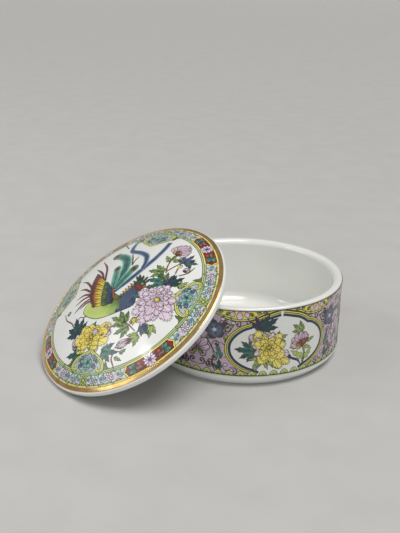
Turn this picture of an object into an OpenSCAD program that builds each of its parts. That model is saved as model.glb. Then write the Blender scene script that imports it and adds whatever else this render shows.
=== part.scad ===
// Round porcelain trinket box: a low bowl and a domed lid with a locating collar.
// The lid lies off the bowl, one edge on the table, and leans on the bowl's lip.
// Origin: centre of the bowl's foot ring, on the table. The lid leans on the -X side.

/* [Bowl] */
// Outside diameter of the bowl's straight wall
bowl_d = 105; // [90:1:120]
// Height of the bowl, from the table to the top of its lip
bowl_h = 42.2; // [38:0.2:48]
// Thickness of the bowl's wall
wall_t = 4.8; // [4.2:0.1:5.4]
// Thickness of the bowl's floor above its foot ring's recess
floor_t = 3.6; // [3:0.1:5]
// Radius of the rounding between the inside wall and the floor
inner_fillet = 6; // [3:0.5:9]
// Height of the plain white strip and foot under the coloured band
foot_band_h = 6.2; // [5.4:0.1:8]

/* [Lid] */
// Outside diameter of the lid's rounded edge
lid_d = 106.8; // [102:0.2:112]
// Thickness of the lid's edge
edge_t = 2.9; // [2.6:0.1:3.2]
// Rise of the dome above the top of the edge
dome_rise = 12; // [10:0.5:15]
// Depth of the hollow in the lid's underside, above its seat on the bowl's lip
hollow_h = 3.5; // [3:0.1:4]
// How far the locating collar reaches below the seat
collar_h = 2.5; // [2:0.1:2.8]
// Wall thickness of the locating collar
collar_t = 2.6; // [2.4:0.1:3]
// Clearance on radius between the collar and the inside of the bowl
collar_gap = 0.6; // [0.4:0.1:1.2]

/* [Decoration] */
// Width of the patterned border on the dome
border_w = 7.3; // [6:0.1:9]
// Width of the gilt line on the dome's shoulder
gilt_w = 1.9; // [1.2:0.1:2.4]
// Thickness of the fired enamel and gilding on top of the glaze
enamel_t = 0.1; // [0.08:0.01:0.2]

/* [Leaning lid] */
// Angle between the lid's seat plane and the table
lean_angle = 35.4; // [33:0.2:38]
// Sideways offset of the lid from the line through the bowl's axis
lean_shift = 6.4; // [0:0.2:9]
// Gap left between the lip of the bowl and the lid that leans on it
lean_gap = 0.12; // [0.05:0.01:0.3]

/* [Hidden] */
$fn = 160;

// Bowl
bowl_r = bowl_d / 2;
bore_r = bowl_r - wall_t;
lip_outer_r = 1;
lip_inner_r = 3;
foot_step_z = 4.2;
foot_step = 0.4;
foot_inset = 4.3;
foot_r = bowl_r - foot_inset;
foot_round = 0.8;
foot_inner_r = foot_r - 3.4;
recess_h = 1.6;
floor_z = recess_h + floor_t;
band_top_z = bowl_h - lip_outer_r;

// Lid, in its own frame: axis on Z, seat on the bowl's lip at z = 0
lid_r = lid_d / 2;
edge_low_r = 1.3;
edge_high_r = 0.9;
dome_r = (lid_r * lid_r + dome_rise * dome_rise) / (2 * dome_rise);
dome_z = edge_t + dome_rise - dome_r;
// The upper edge rounding touches the dome from inside
edge_high_z = dome_z + sqrt(pow(dome_r - edge_high_r, 2) - pow(lid_r - edge_high_r, 2));
shoulder_r = (lid_r - edge_high_r) * dome_r / (dome_r - edge_high_r);
shoulder_z = dome_z + sqrt(dome_r * dome_r - shoulder_r * shoulder_r);
collar_r = bore_r - collar_gap;
collar_inner_r = collar_r - collar_t;
collar_tip_r = 1.2;
hollow_round = 2;
gilt_r = shoulder_r - 0.1;
border_r = gilt_r - gilt_w - 0.1;
field_r = border_r - border_w;

// Resting place of the leaning lid
lid_z = (lid_r - edge_low_r) * sin(lean_angle) + edge_low_r * (1 - cos(lean_angle));
touch_x = -(bowl_r - lip_outer_r) - lip_outer_r * sin(lean_angle);
touch_z = bowl_h - lip_outer_r + lip_outer_r * cos(lean_angle);
touch_h = hollow_h - lean_gap;
lid_x = touch_x - (cos(lean_angle) * (touch_z - lid_z) - touch_h) / sin(lean_angle);

// Puts something modelled in the lid's own frame where the leaning lid lies
module leaning() {
    translate([lid_x, lean_shift, lid_z])
        rotate([0, -lean_angle, 0])
            children();
}

// What a square corner loses when it is rounded: corner at the origin, body on the -X -Y side
module corner_waste(r) {
    difference() {
        translate([-r, -r]) square(r + 1);
        translate([-r, -r]) circle(r);
    }
}

// What fills a square inside corner: corner at the origin, material on the +X -Y side
module corner_fill(r) {
    difference() {
        translate([-r, 0]) square(r);
        translate([-r, r]) circle(r);
    }
}

// Half section of the bowl
module bowl_section() {
    difference() {
        square([bowl_r, bowl_h]);
        // inside
        difference() {
            translate([-1, floor_z]) square([bore_r + 1, bowl_h]);
            translate([bore_r, floor_z]) corner_fill(inner_fillet);
        }
        // lip
        translate([bowl_r, bowl_h]) corner_waste(lip_outer_r);
        translate([bore_r, bowl_h]) mirror([1, 0]) corner_waste(lip_inner_r);
        // small step and sloping flank of the foot
        polygon([
            [bowl_r + 1, -1],
            [bowl_r + 1, foot_step_z],
            [bowl_r - foot_step, foot_step_z],
            [bowl_r - foot_step, foot_step_z - 0.4],
            [foot_r + foot_round, foot_round],
            [foot_r + foot_round, -1]
        ]);
        translate([foot_r + foot_round, 0]) mirror([0, 1]) corner_waste(foot_round);
        // recess inside the foot ring
        translate([-1, -1]) square([foot_inner_r + 1, recess_h + 1]);
        translate([foot_inner_r, 0]) mirror([0, 1]) mirror([1, 0]) corner_waste(foot_round);
    }
}

// Half section of the lid
module lid_section() {
    difference() {
        union() {
            // dome, up to the ray where the edge rounding takes over
            intersection() {
                translate([0, dome_z]) circle(dome_r, $fn = 720);
                polygon([
                    [0, 0],
                    [lid_r - edge_low_r, 0],
                    [lid_r - edge_high_r, edge_high_z],
                    [shoulder_r, shoulder_z],
                    [shoulder_r, edge_t + dome_rise + 1],
                    [0, edge_t + dome_rise + 1]
                ]);
            }
            // rounded edge
            translate([lid_r - edge_high_r, edge_high_z]) circle(edge_high_r);
            translate([lid_r - edge_low_r, edge_low_r]) circle(edge_low_r);
            translate([lid_r - edge_low_r, edge_low_r])
                square([edge_low_r, edge_high_z - edge_low_r]);
            // locating collar with a round tip
            difference() {
                translate([collar_inner_r, -collar_h]) square([collar_t, collar_h + 1]);
                translate([collar_r, -collar_h]) mirror([0, 1]) corner_waste(collar_tip_r);
                translate([collar_inner_r, -collar_h])
                    mirror([0, 1]) mirror([1, 0]) corner_waste(collar_tip_r);
            }
        }
        // hollow inside the collar
        difference() {
            translate([-1, -1]) square([collar_inner_r + 1, hollow_h + 1]);
            translate([collar_inner_r, hollow_h]) mirror([0, 1]) corner_fill(hollow_round);
        }
    }
}

// Half section of a coat on the dome between two radii
module dome_coat_section(inner_r, outer_r) {
    intersection() {
        difference() {
            translate([0, dome_z]) circle(dome_r + enamel_t, $fn = 720);
            translate([0, dome_z]) circle(dome_r, $fn = 720);
        }
        translate([inner_r, edge_t]) square([outer_r - inner_r, dome_rise + 1]);
    }
}

module bowl() {
    color("whitesmoke") rotate_extrude() bowl_section();
}

module bowl_enamel_band() {
    color("thistle")
        rotate_extrude()
            translate([bowl_r, foot_band_h]) square([enamel_t, band_top_z - foot_band_h]);
}

module lid() {
    color("white") leaning() rotate_extrude() lid_section();
}

module lid_enamel_border() {
    color("powderblue") leaning() rotate_extrude() dome_coat_section(field_r, border_r);
}

module lid_gilt_band() {
    color("goldenrod") leaning() rotate_extrude() dome_coat_section(border_r + 0.1, gilt_r);
}

bowl();
bowl_enamel_band();
lid();
lid_enamel_border();
lid_gilt_band();
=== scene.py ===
"""Looks of the porcelain trinket box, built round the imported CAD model.

The two porcelain pieces are turned on a lathe to the CAD's own sections. Their painting is thin closed
enamel laid on the glaze. It is drawn in mm on the flattened surface: on the dome as seen along the lid's
axis, on the wall along its circumference and up its height. Each colour on each surface is one object.
"""
from math import acos, atan2, ceil, cos, degrees, dist, hypot, pi, radians, sin, sqrt
import bpy
from mathutils import Matrix, Vector
from mathutils.geometry import delaunay_2d_cdt


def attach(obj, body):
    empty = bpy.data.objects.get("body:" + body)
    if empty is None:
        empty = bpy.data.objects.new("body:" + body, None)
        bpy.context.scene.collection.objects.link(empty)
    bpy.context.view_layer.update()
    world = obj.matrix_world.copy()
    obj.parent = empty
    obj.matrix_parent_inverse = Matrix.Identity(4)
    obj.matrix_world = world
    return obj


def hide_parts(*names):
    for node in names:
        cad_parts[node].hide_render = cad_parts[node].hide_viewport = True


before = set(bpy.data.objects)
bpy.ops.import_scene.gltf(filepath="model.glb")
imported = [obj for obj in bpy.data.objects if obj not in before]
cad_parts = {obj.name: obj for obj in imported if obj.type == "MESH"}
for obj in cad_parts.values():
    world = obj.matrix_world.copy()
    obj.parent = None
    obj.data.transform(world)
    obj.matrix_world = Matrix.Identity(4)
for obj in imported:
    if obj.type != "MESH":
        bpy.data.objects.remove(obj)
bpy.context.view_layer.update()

MM = 0.001
TAU = 2 * pi

# Sizes of the CAD model, in mm
BOWL_R, BOWL_H, WALL_T = 52.5, 42.2, 4.8
BORE_R = BOWL_R - WALL_T
FLOOR_Z, FLOOR_FILLET = 5.2, 6
FOOT_R, FOOT_T, FOOT_ROUND, RECESS_H = 48.2, 3.4, 0.8, 1.6
FOOT_STEP_Z, FOOT_STEP = 4.2, 0.4
LIP_OUTER_R, LIP_INNER_R = 1, 3
BAND_LOW, BAND_TOP = 6.2, BOWL_H - LIP_OUTER_R
LID_R, EDGE_T, DOME_RISE, HOLLOW_H, HOLLOW_ROUND = 53.4, 2.9, 12, 3.5, 2
EDGE_LOW_R, EDGE_HIGH_R = 1.3, 0.9
COLLAR_R, COLLAR_T, COLLAR_H, COLLAR_TIP_R = BORE_R - 0.6, 2.6, 2.5, 1.2
DOME_R = (LID_R ** 2 + DOME_RISE ** 2) / (2 * DOME_RISE)
DOME_Z = EDGE_T + DOME_RISE - DOME_R
SHOULDER_R = (LID_R - EDGE_HIGH_R) * DOME_R / (DOME_R - EDGE_HIGH_R)
GILT_W, BORDER_W, ENAMEL_T = 1.9, 7.3, 0.1
GILT_R = SHOULDER_R - 0.1
BORDER_R = GILT_R - GILT_W - 0.1
FIELD_R = BORDER_R - BORDER_W
LEAN, LEAN_SHIFT, LEAN_GAP = radians(35.4), 6.4, 0.12

# Looks only, in mm: the ground coats' height over the glaze and depth in it, and two softened edges
COAT_T, COAT_SUNK = 0.03, 0.05
STEP_ROUND, RECESS_CUT = 0.2, 0.3

# The painting's layout: the direction of a wall medallion and the length round the wall, then the angle of
# a red panel on the dome and the middle and inner radius of the painted border, in mm
MEDALLION_TURN = radians(-104.1)
WALL_LENGTH = TAU * BOWL_R
PANEL_ANGLE = -18.6
BORDER_MIDDLE, BORDER_EDGE = 47.6, 43.6

# The photo's camera, in metres and degrees with its lens in mm, and the point that the lamps face
CAMERA_AIM = Vector((0.0423, 0.1074, 0))
CAMERA_DISTANCE = 0.5473
CAMERA_TURN, CAMERA_TILT, CAMERA_ROLL = (radians(a) for a in (-32.9, 20.86, 1.3))
LENS = 54.03
BOX_MIDDLE = Vector((-0.03, 0, 0.02))


# ---------------- camera, light and floor

def add_object(name, data):
    made = bpy.data.objects.new(name, data)
    bpy.context.collection.objects.link(made)
    return made


def add_mesh(name, verts, faces):
    mesh = bpy.data.meshes.new(name)
    mesh.from_pydata(verts, [], faces)
    mesh.shade_smooth()
    return add_object(name, mesh)


def set_sockets(node, **values):
    """Constants on a node's sockets, each named with _ for a space."""
    for name, value in values.items():
        node.inputs[name.replace("_", " ")].default_value = value


def make_camera():
    camera = add_object("camera", bpy.data.cameras.new("camera"))
    camera.data.lens = LENS
    camera.data.sensor_width = 36
    camera.data.clip_start = 0.01
    back = Vector((0, -cos(CAMERA_TILT), sin(CAMERA_TILT)))
    back.rotate(Matrix.Rotation(CAMERA_TURN, 3, "Z"))
    camera.location = CAMERA_AIM + back * CAMERA_DISTANCE
    level = (-back).to_track_quat("-Z", "Y")
    camera.rotation_mode = "QUATERNION"
    camera.rotation_quaternion = level @ Matrix.Rotation(CAMERA_ROLL, 3, "Z").to_quaternion()
    bpy.context.scene.camera = camera


def add_light(name, kind, facing, power, tone):
    lamp = bpy.data.lights.new(name, kind)
    lamp.energy = power
    lamp.color = tone
    light = add_object(name, lamp)
    light.rotation_mode = "QUATERNION"
    light.rotation_quaternion = Vector(facing).to_track_quat("-Z", "Y")
    return light


def area_light(name, place, size, power, tone=(1, 1, 1)):
    """A round soft lamp that faces the box."""
    light = add_light(name, "AREA", BOX_MIDDLE - Vector(place), power, tone)
    light.location = place
    light.data.shape = "DISK"
    light.data.size = size


def light_studio():
    world = bpy.data.worlds.new("studio")
    bpy.context.scene.world = world
    world.use_nodes = True
    set_sockets(world.node_tree.nodes["Background"], Color=(0.8, 0.82, 0.86, 1), Strength=0.38)
    overhead = add_light("overhead", "SUN", (-0.12, 0.3, -1), 1.8, (1, 0.985, 0.96))
    overhead.data.angle = radians(36)
    area_light("softbox", (-0.84, 0.42, 0.64), 0.6, 1.6, (1, 0.99, 0.97))
    area_light("sparkle", (-0.66, 0.16, 0.69), 0.08, 0.3)
    area_light("fill", (-0.5, -0.8, 0.5), 0.7, 1.3, (0.95, 0.975, 1))
    bpy.context.scene.view_settings.view_transform = "Standard"


def make_floor():
    """A pale sweep, flat under the box and curved up behind it."""
    size, rise = 6, 2.4
    verts = []
    for run, height in [(-size, 0), *arc(size - rise, rise, rise, -90, 0, 12), (size, size)]:
        for side in (-size, size):
            corner = Vector((side, run, height))
            corner.rotate(Matrix.Rotation(CAMERA_TURN, 3, "Z"))
            verts.append(corner)
    floor = add_mesh("floor", verts, [(i, i + 1, i + 3, i + 2) for i in range(0, len(verts) - 2, 2)])
    floor.data.materials.append(floor_material())


# ---------------- materials

def new_material(name, colour, roughness, metallic=0, coat=0):
    material = bpy.data.materials.new(name)
    material.use_nodes = True
    material.diffuse_color = (*colour, 1)
    shader = material.node_tree.nodes["Principled BSDF"]
    set_sockets(shader, Base_Color=(*colour, 1), Roughness=roughness, Metallic=metallic)
    set_sockets(shader, Coat_Weight=coat, Coat_Roughness=0.05)
    return material, material.node_tree, shader


def add_node(tree, kind, **values):
    made = tree.nodes.new(kind)
    set_sockets(made, **values)
    return made


def noise(tree, scale, detail=3):
    place = tree.nodes.new("ShaderNodeTexCoord")
    made = add_node(tree, "ShaderNodeTexNoise", Scale=scale, Detail=detail)
    tree.links.new(place.outputs["Object"], made.inputs["Vector"])
    return made.outputs["Fac"]


def maths(tree, operation, factor, *values):
    made = tree.nodes.new("ShaderNodeMath")
    made.operation = operation
    tree.links.new(factor, made.inputs[0])
    for i, value in enumerate(values):
        made.inputs[i + 1].default_value = value
    return made


def ramp_colours(tree, shader, factor, *stops):
    """Base colour that follows a factor through stops, each its place on the ramp and its colour."""
    ramp = tree.nodes.new("ShaderNodeValToRGB")
    marks = ramp.color_ramp.elements
    for i, (place, colour) in enumerate(stops):
        mark = marks[i] if i < 2 else marks.new(place)
        mark.position = place
        mark.color = (*colour, 1)
    tree.links.new(factor, ramp.inputs["Fac"])
    tree.links.new(ramp.outputs["Color"], shader.inputs["Base Color"])


def vary_roughness(tree, shader, scale, low, high):
    span = add_node(tree, "ShaderNodeMapRange", To_Min=low, To_Max=high)
    tree.links.new(noise(tree, scale), span.inputs["Value"])
    tree.links.new(span.outputs["Result"], shader.inputs["Roughness"])


def add_bump(tree, shader, scale, strength, distance, detail=3):
    bump = add_node(tree, "ShaderNodeBump", Strength=strength, Distance=distance)
    tree.links.new(noise(tree, scale, detail), bump.inputs["Height"])
    tree.links.new(bump.outputs["Normal"], shader.inputs["Normal"])


def srgb(red, green, blue):
    """A colour given as 0 to 255 screen values, made linear."""
    return tuple((v / 255) ** 2.2 for v in (red, green, blue))


def floor_material():
    material, tree, shader = new_material("studio_floor", srgb(190, 189, 186), 0.75)
    ramp_colours(tree, shader, noise(tree, 40), (0.3, srgb(188, 187, 184)), (0.7, srgb(193, 192, 189)))
    return material


def porcelain_material():
    """A white body under a thick clear glaze."""
    white, warm = (0.86, 0.86, 0.82), (0.82, 0.825, 0.78)
    material, tree, shader = new_material("porcelain", white, 0.2, coat=0.6)
    set_sockets(shader, Subsurface_Weight=0.08, Subsurface_Radius=(0.003, 0.0025, 0.002))
    ramp_colours(tree, shader, noise(tree, 28), (0.3, warm), (0.7, white))
    vary_roughness(tree, shader, 90, 0.1, 0.2)
    add_bump(tree, shader, 60, 0.12, 0.0004, detail=2)
    return material


def gilt_material():
    material, tree, shader = new_material("gilding", srgb(230, 190, 122), 0.2, metallic=1)
    ramp_colours(tree, shader, noise(tree, 160), (0.3, srgb(220, 172, 100)), (0.7, srgb(240, 206, 146)))
    vary_roughness(tree, shader, 420, 0.1, 0.24)
    add_bump(tree, shader, 260, 0.1, 0.0002)
    return material


# Each enamel: its thin, middle and full tone, in screen values
PALETTE = {
    "ink": ((152, 122, 84), (84, 66, 56), (36, 32, 38)),
    "white": ((224, 224, 216), (232, 232, 226), (238, 238, 233)),
    "rose": ((234, 217, 229), (206, 176, 200), (146, 102, 142)),
    "gold": ((248, 238, 134), (232, 206, 66), (176, 98, 36)),
    "red": ((200, 80, 54), (146, 52, 38), (90, 36, 36)),
    "green": ((198, 212, 118), (126, 156, 86), (46, 80, 56)),
    "teal": ((158, 204, 186), (72, 134, 116), (26, 64, 66)),
    "blue": ((202, 214, 220), (96, 116, 146), (40, 50, 80)),
    "wall_ground": ((198, 178, 190), (184, 161, 176), (168, 143, 160)),
    "border_ground": ((206, 214, 218), (190, 202, 208), (174, 190, 198)),
}


def enamel_material(colour, varied=True):
    """Glossy fired enamel: its tone follows the painted tint if it is varied, and it pools a little."""
    thin, middle, full = (srgb(*tone) for tone in PALETTE[colour])
    material, tree, shader = new_material("enamel_" + colour, middle, 0.2, coat=0.4)
    pooled = maths(tree, "MULTIPLY_ADD", noise(tree, 420, 4), 0.5, 0.25)
    if varied:
        tint = tree.nodes.new("ShaderNodeAttribute")
        tint.attribute_name = "tint"
        tree.links.new(tint.outputs["Fac"], pooled.inputs[2])
    scaled = maths(tree, "MULTIPLY", pooled.outputs[0], 0.8)
    ramp_colours(tree, shader, scaled.outputs[0], (0.25, thin), (0.75, middle), (1, full))
    vary_roughness(tree, shader, 300, 0.12, 0.3)
    add_bump(tree, shader, 500, 0.15, 0.00012)
    return material


# ---------------- lathe-turned porcelain

def arc(centre_r, centre_z, radius, start, end, steps=10):
    """Points of a section's arc, angles in degrees, counter-clockwise from straight out."""
    points = []
    for i in range(steps + 1):
        turn = radians(start + (end - start) * i / steps)
        points.append((centre_r + radius * cos(turn), centre_z + radius * sin(turn)))
    return points


def dome_section(inner_r, outer_r, height, steps):
    """Points on the dome from one radius to another, at a height over the glaze."""
    radii = [inner_r + (outer_r - inner_r) * i / steps for i in range(steps + 1)]
    return [(r, DOME_Z + sqrt((DOME_R + height) ** 2 - r * r)) for r in radii]


def straight(start, end, steps):
    """Points evenly spaced from one to another, both included."""
    return [tuple(a + (b - a) * i / steps for a, b in zip(start, end)) for i in range(steps + 1)]


def bowl_section():
    """The bowl's half section, from the middle of its floor, over the lip and foot, to its recess."""
    foot_inner = FOOT_R - FOOT_T
    return (
        straight((0, FLOOR_Z), (BORE_R - FLOOR_FILLET, FLOOR_Z), 12)
        + arc(BORE_R - FLOOR_FILLET, FLOOR_Z + FLOOR_FILLET, FLOOR_FILLET, -90, 0)
        + arc(BORE_R + LIP_INNER_R, BOWL_H - LIP_INNER_R, LIP_INNER_R, 180, 90)
        + arc(BOWL_R - LIP_OUTER_R, BOWL_H - LIP_OUTER_R, LIP_OUTER_R, 90, 0)
        + straight((BOWL_R, BAND_TOP - 0.01), (BOWL_R, FOOT_STEP_Z + STEP_ROUND), 8)
        + arc(BOWL_R - STEP_ROUND, FOOT_STEP_Z + STEP_ROUND, STEP_ROUND, 0, -90, 4)
        + [(BOWL_R - FOOT_STEP, FOOT_STEP_Z), (BOWL_R - FOOT_STEP, FOOT_STEP_Z - 0.4)]
        + arc(FOOT_R, FOOT_ROUND, FOOT_ROUND, -20, -90, 6)
        + arc(foot_inner + FOOT_ROUND, FOOT_ROUND, FOOT_ROUND, -90, -180, 6)
        + [(foot_inner, RECESS_H - RECESS_CUT), (foot_inner - RECESS_CUT, RECESS_H), (0, RECESS_H)]
    )


def lid_section():
    """The lid's half section, from the top of its dome, round the edge and collar, to its hollow."""
    collar_inner = COLLAR_R - COLLAR_T
    edge_high_z = DOME_Z + sqrt((DOME_R - EDGE_HIGH_R) ** 2 - (LID_R - EDGE_HIGH_R) ** 2)
    slope = degrees(acos((LID_R - EDGE_HIGH_R) / (DOME_R - EDGE_HIGH_R)))
    return (
        dome_section(0, SHOULDER_R, 0, 60)[:-1]
        + arc(LID_R - EDGE_HIGH_R, edge_high_z, EDGE_HIGH_R, slope, 0)
        + arc(LID_R - EDGE_LOW_R, EDGE_LOW_R, EDGE_LOW_R, 0, -90)
        + [(COLLAR_R, 0)]
        + arc(COLLAR_R - COLLAR_TIP_R, COLLAR_TIP_R - COLLAR_H, COLLAR_TIP_R, 0, -90, 6)
        + arc(collar_inner + COLLAR_TIP_R, COLLAR_TIP_R - COLLAR_H, COLLAR_TIP_R, -90, -180, 6)
        + arc(collar_inner - HOLLOW_ROUND, HOLLOW_H - HOLLOW_ROUND, HOLLOW_ROUND, 0, 90, 6)
        + [(0, HOLLOW_H)]
    )


def turn_on_lathe(name, section, place, closed=False):
    """A solid of revolution about +Z from section points in mm, then put in place."""
    segments = 256
    verts, rings = [], []
    last = None
    for r, z in section:
        if last and dist(last, (r, z)) < 1e-4:
            continue
        last = (r, z)
        if r < 1e-6:
            rings.append([len(verts)] * segments)
            verts.append(place @ Vector((0, 0, z * MM)))
            continue
        rings.append(list(range(len(verts), len(verts) + segments)))
        for k in range(segments):
            turn = TAU * k / segments
            verts.append(place @ Vector((r * MM * cos(turn), r * MM * sin(turn), z * MM)))
    faces = []
    ends = rings[1:] + rings[:1] if closed else rings[1:]
    for low, high in zip(rings, ends):
        for k in range(segments):
            j = (k + 1) % segments
            corners = dict.fromkeys((low[k], low[j], high[j], high[k]))
            if len(corners) > 2:
                faces.append(tuple(corners))
    return add_mesh(name, verts, faces)


def lid_place():
    """Where the leaning lid's own frame lies: x to the photo's right, y up the slope, z off the dome."""
    rest_z = (LID_R - EDGE_LOW_R) * sin(LEAN) + EDGE_LOW_R * (1 - cos(LEAN))
    touch_x = LIP_OUTER_R - BOWL_R - LIP_OUTER_R * sin(LEAN)
    touch_z = BOWL_H - LIP_OUTER_R + LIP_OUTER_R * cos(LEAN)
    rest_x = touch_x - (cos(LEAN) * (touch_z - rest_z) - HOLLOW_H + LEAN_GAP) / sin(LEAN)
    across, upslope = Vector((0, -1, 0)), Vector((cos(LEAN), 0, sin(LEAN)))
    axes = Matrix((across, upslope, across.cross(upslope))).transposed().to_4x4()
    return Matrix.Translation(Vector((rest_x, LEAN_SHIFT, rest_z)) * MM) @ axes


LID_PLACE = lid_place()


def make_porcelain():
    glaze = porcelain_material()
    bowl = turn_on_lathe("bowl_porcelain", bowl_section()[::-1], Matrix())
    lid = turn_on_lathe("lid_porcelain", lid_section()[::-1], LID_PLACE)
    for piece, body in ((bowl, "bowl"), (lid, "lid")):
        piece.data.materials.append(glaze)
        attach(piece, body)
        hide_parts(body)


def make_coats():
    """The bands that the CAD has as nodes: wall ground, border ground and gilt line."""
    top, sunk = BOWL_R + COAT_T, BOWL_R - COAT_SUNK
    wall = [(sunk, BAND_LOW), *straight((top, BAND_LOW), (top, BAND_TOP), 20), (sunk, BAND_TOP)]
    ground = enamel_material("wall_ground", False)
    coats = [("bowl_wall_ground", wall, Matrix(), ground, "bowl", "bowl_enamel_band", "wall_enamel")]
    border = enamel_material("border_ground", False)
    for name, inner, outer, thick, material, node, slot in (
        ("lid_border_ground", FIELD_R, BORDER_R, COAT_T, border, "lid_enamel_border", "border_enamel"),
        ("lid_gilt_line", BORDER_R + 0.1, GILT_R, ENAMEL_T, gilt_material(), "lid_gilt_band", "gilding"),
    ):
        section = dome_section(outer, inner, -COAT_SUNK, 8) + dome_section(inner, outer, thick, 8)
        coats.append((name, section[::-1], LID_PLACE, material, "lid", node, slot))
    for name, section, place, material, body, node, slot in coats:
        coat = turn_on_lathe(name, section, place, closed=True)
        coat.data.materials.append(material)
        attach(coat, body)
        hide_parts(node)


# ---------------- painting kit

# In mm: one layer of paint, how deep a patch's underside lies in the glaze, a plain ink line's width, and
# the widest strip of a stroke that still follows the round surface
LAYER = 0.015
SUNK = 0.04
INK_W = 0.38
LANE_W = 1.2


def on_dome(x, y, height):
    """A point over the dome, from mm right of its axis and mm up the slope, as seen along the axis."""
    off = Vector((x, y, sqrt(DOME_R ** 2 - x * x - y * y)))
    off *= 1 + height / DOME_R
    return LID_PLACE @ ((off + Vector((0, 0, DOME_Z))) * MM)


def on_wall(x, y, height):
    """A point over the bowl's wall, from mm along it to the right and mm up it, round on to the lip."""
    turn = MEDALLION_TURN + x / BOWL_R
    over = max(0, y - BAND_TOP) / LIP_OUTER_R
    reach = BOWL_R - LIP_OUTER_R + (LIP_OUTER_R + height) * cos(over)
    rise = min(y, BAND_TOP) + (LIP_OUTER_R + height) * sin(over)
    return Vector((reach * cos(turn), reach * sin(turn), rise)) * MM


class Canvas:
    """A glazed surface laid flat in mm. It gathers thin closed shapes, one mesh for each enamel."""

    def __init__(self, name, body, slot, surface, cell):
        """surface turns x, y and height into a place; cell is the mesh size that follows the surface."""
        self.name, self.body, self.slot = name, body, slot
        self.surface, self.cell = surface, cell
        self.paint = {}

    def add(self, colour, points, triangles, height, tints):
        """A closed patch: its triangles at a height over the glaze, an underside in it, and side faces."""
        if not triangles:
            return
        a, b, c = (points[i] for i in triangles[0])
        if (b[0] - a[0]) * (c[1] - a[1]) < (c[0] - a[0]) * (b[1] - a[1]):
            triangles = [(i, k, j) for i, j, k in triangles]
        verts, faces, shades = self.paint.setdefault(colour, ([], [], []))
        top = len(verts)
        low = top + len(points)
        verts.extend(self.surface(x, y, height) for x, y in points)
        verts.extend(self.surface(x, y, -SUNK) for x, y in points)
        shades.extend(tints + tints)
        edges = {}
        for i, j, k in triangles:
            faces.append((top + i, top + j, top + k))
            faces.append((low + i, low + k, low + j))
            for edge in ((i, j), (j, k), (k, i)):
                edges[edge] = True
        for i, j in edges:
            if (j, i) not in edges:
                faces.append((low + i, low + j, top + j, top + i))

    def finish(self):
        for colour, (verts, faces, shades) in self.paint.items():
            piece = add_mesh(self.name + "_" + colour, verts, faces)
            piece.data.set_sharp_from_angle(angle=radians(35))
            piece.data.attributes.new("tint", "FLOAT", "POINT").data.foreach_set("value", shades)
            piece.data.materials.append(ENAMELS[colour])
            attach(piece, self.body)


def spline(points, closed=False, step=0.6):
    """A smooth curve through the points."""
    count = len(points)
    curve = []
    for i in range(count if closed else count - 1):
        around = range(i - 1, i + 3)
        near = [points[k % count if closed else min(max(k, 0), count - 1)] for k in around]
        parts = max(2, round(dist(near[1], near[2]) / step))
        for j in range(parts):
            t = j / parts
            curve.append(tuple(
                b + (t * (c - a) + t * t * (2 * a - 5 * b + 4 * c - d) + t ** 3 * (3 * b - a - 3 * c + d)) / 2
                for a, b, c, d in zip(*near)))
    if not closed:
        curve.append(tuple(points[-1]))
    return curve


def mirrored(half):
    """A closed outline from its right half, which starts and ends on the middle line."""
    return half + [(-x, y) for x, y in half[-2:0:-1]]


def oval(width, height, x=0, y=0, steps=14):
    """An outline round a centre."""
    turns = [TAU * i / steps for i in range(steps)]
    return [(x + width / 2 * cos(a), y + height / 2 * sin(a)) for a in turns]


def inside(outline, x, y):
    """Whether a line from the point to the right crosses the outline an odd number of times."""
    hit = False
    for (x1, y1), (x2, y2) in zip(outline, outline[1:] + outline[:1]):
        if (y1 > y) != (y2 > y) and x < x1 + (x2 - x1) * (y - y1) / (y2 - y1):
            hit = not hit
    return hit


def triangulate(outline, cell, ribs):
    """Flat triangles inside an outline, with ribs and a grid inside so that they follow a round surface."""
    count = len(outline)
    low_x, low_y = (min(p[k] for p in outline) for k in (0, 1))
    high_x, high_y = (max(p[k] for p in outline) for k in (0, 1))
    grid = list(ribs)
    for i in range(1, ceil((high_x - low_x) / cell)):
        for j in range(1, ceil((high_y - low_y) / cell)):
            x, y = low_x + i * cell, low_y + j * cell
            if inside(outline, x, y):
                grid.append((x, y))
    edges = [(i, (i + 1) % count) for i in range(count)]
    points = [Vector(p) for p in outline + grid]
    made = delaunay_2d_cdt(points, edges, [], 1, 1e-5)
    return [tuple(p) for p in made[0]], [tuple(face) for face in made[2]]


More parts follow.
